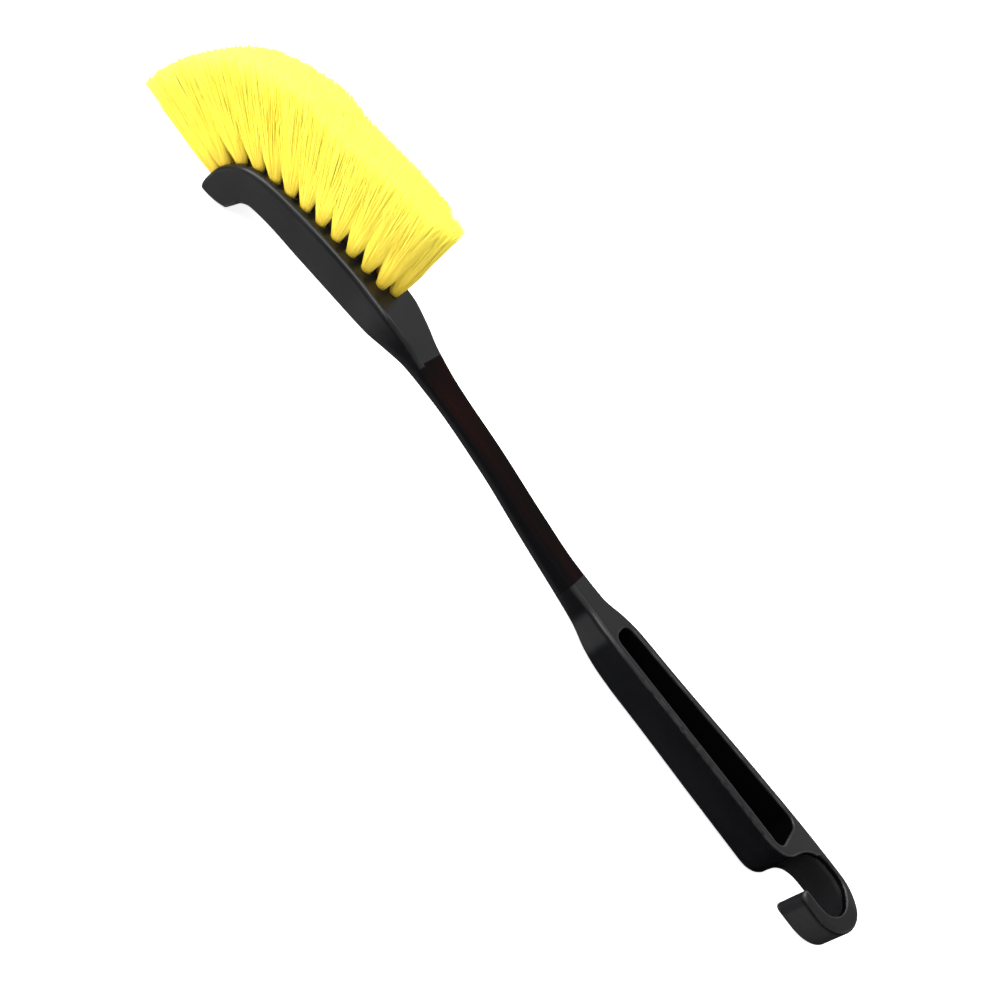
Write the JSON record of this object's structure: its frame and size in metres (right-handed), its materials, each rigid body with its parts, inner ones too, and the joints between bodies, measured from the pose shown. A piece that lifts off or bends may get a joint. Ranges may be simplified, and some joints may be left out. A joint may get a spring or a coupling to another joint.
{
  "type": "wheel brush",
  "caption": "Long-reach wheel brush: curved head with rows of stiff tufts, slim raised neck, pocketed grip and an open hanging hook.",
  "frame": {"origin": "middle of the overall length and width, at the height of the surface the brush lies on", "axes": "+X from the brush head to the hook, +Z the bristle side, +Y the side opposite the hook's mouth"},
  "size_m": [0.4754, 0.0294, 0.0786],
  "materials": {
    "handle_plastic": "satin moulded",
    "bristle_filament": "satin filament",
    "anchor_steel": "galvanised"
  },
  "bodies": {
    "root": {"handle": "handle_plastic", "tuft_near_01": "bristle_filament", "tuft_near_02": "bristle_filament", "tuft_near_03": "bristle_filament", "tuft_near_04": "bristle_filament", "tuft_near_05": "bristle_filament", "tuft_near_06": "bristle_filament", "tuft_near_07": "bristle_filament", "tuft_near_08": "bristle_filament", "tuft_near_09": "bristle_filament", "tuft_near_10": "bristle_filament", "tuft_near_11": "bristle_filament", "tuft_near_12": "bristle_filament", "tuft_far_01": "bristle_filament", "tuft_far_02": "bristle_filament", "tuft_far_03": "bristle_filament", "tuft_far_04": "bristle_filament", "tuft_far_05": "bristle_filament", "tuft_far_06": "bristle_filament", "tuft_far_07": "bristle_filament", "tuft_far_08": "bristle_filament", "tuft_far_09": "bristle_filament", "tuft_far_10": "bristle_filament", "tuft_far_11": "bristle_filament", "tuft_end": "bristle_filament", "anchor_near_01": "anchor_steel", "anchor_near_02": "anchor_steel", "anchor_near_03": "anchor_steel", "anchor_near_04": "anchor_steel", "anchor_near_05": "anchor_steel", "anchor_near_06": "anchor_steel", "anchor_near_07": "anchor_steel", "anchor_near_08": "anchor_steel", "anchor_near_09": "anchor_steel", "anchor_near_10": "anchor_steel", "anchor_near_11": "anchor_steel", "anchor_near_12": "anchor_steel", "anchor_far_01": "anchor_steel", "anchor_far_02": "anchor_steel", "anchor_far_03": "anchor_steel", "anchor_far_04": "anchor_steel", "anchor_far_05": "anchor_steel", "anchor_far_06": "anchor_steel", "anchor_far_07": "anchor_steel", "anchor_far_08": "anchor_steel", "anchor_far_09": "anchor_steel", "anchor_far_10": "anchor_steel", "anchor_far_11": "anchor_steel", "anchor_end": "anchor_steel"}
  },
  "joints": []
}
